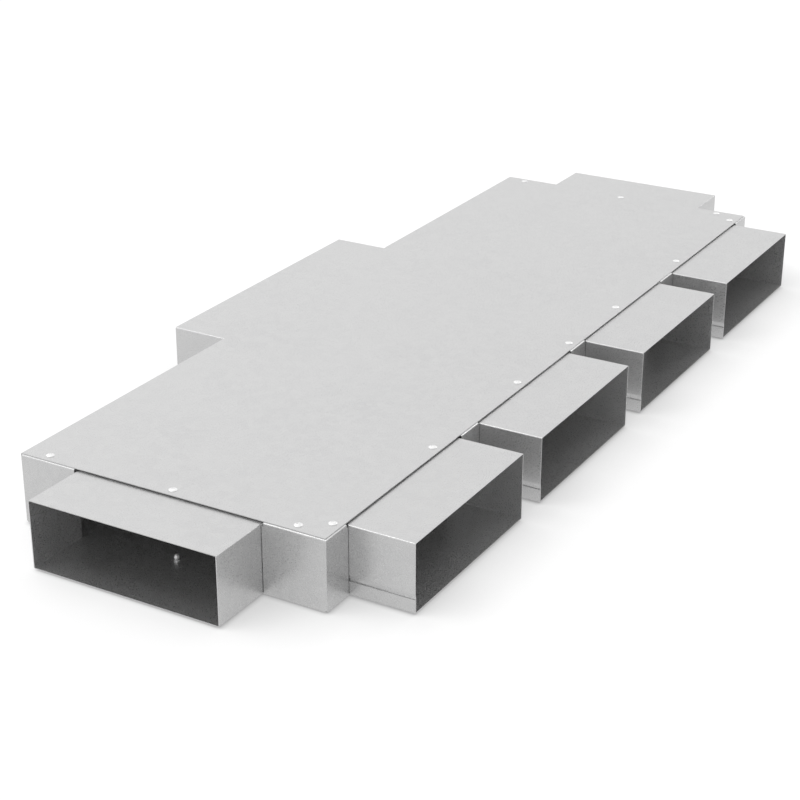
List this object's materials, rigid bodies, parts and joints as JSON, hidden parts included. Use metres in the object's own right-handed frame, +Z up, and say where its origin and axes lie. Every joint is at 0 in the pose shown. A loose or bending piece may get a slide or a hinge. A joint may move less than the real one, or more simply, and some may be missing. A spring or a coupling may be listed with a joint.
{
  "type": "duct distribution box",
  "caption": "Shallow flat sheet-steel plenum box with a wide inlet spigot on one long side and narrower flat rectangular outlet spigots on the other sides.",
  "frame": {"origin": "middle of the object's bounding box, at the level it lies on", "axes": "+X from the wide spigot to the row of four spigots, +Y from front to back along the box, +Z up through the lid"},
  "size_m": [0.349, 0.844, 0.0554],
  "materials": {
    "tray_sheet": "galvanised sheet steel, satin, with a faint mottled zinc bloom",
    "cover_sheet": "galvanised sheet steel, satin, with a faint mottled zinc bloom",
    "spigot_sheet": "galvanised sheet steel, satin, with a faint mottled zinc bloom",
    "rivet": "pale satin aluminium blind rivet"
  },
  "bodies": {
    "root": {"tray": "tray_sheet", "cover": "cover_sheet", "spigot_front": "spigot_sheet", "spigot_back": "spigot_sheet", "spigot_left": "spigot_sheet", "spigot_right_1": "spigot_sheet", "spigot_right_2": "spigot_sheet", "spigot_right_3": "spigot_sheet", "spigot_right_4": "spigot_sheet", "lid_rivet_1": "rivet", "lid_rivet_2": "rivet", "lid_rivet_3": "rivet", "lid_rivet_4": "rivet", "lid_rivet_5": "rivet", "lid_rivet_6": "rivet", "lid_rivet_7": "rivet", "lid_rivet_8": "rivet", "lid_rivet_9": "rivet", "lid_rivet_10": "rivet", "lid_rivet_11": "rivet", "lid_rivet_12": "rivet", "lid_rivet_13": "rivet", "base_rivet_1": "rivet", "base_rivet_2": "rivet", "base_rivet_3": "rivet", "base_rivet_4": "rivet", "base_rivet_5": "rivet", "base_rivet_6": "rivet", "base_rivet_7": "rivet"}
  },
  "joints": []
}
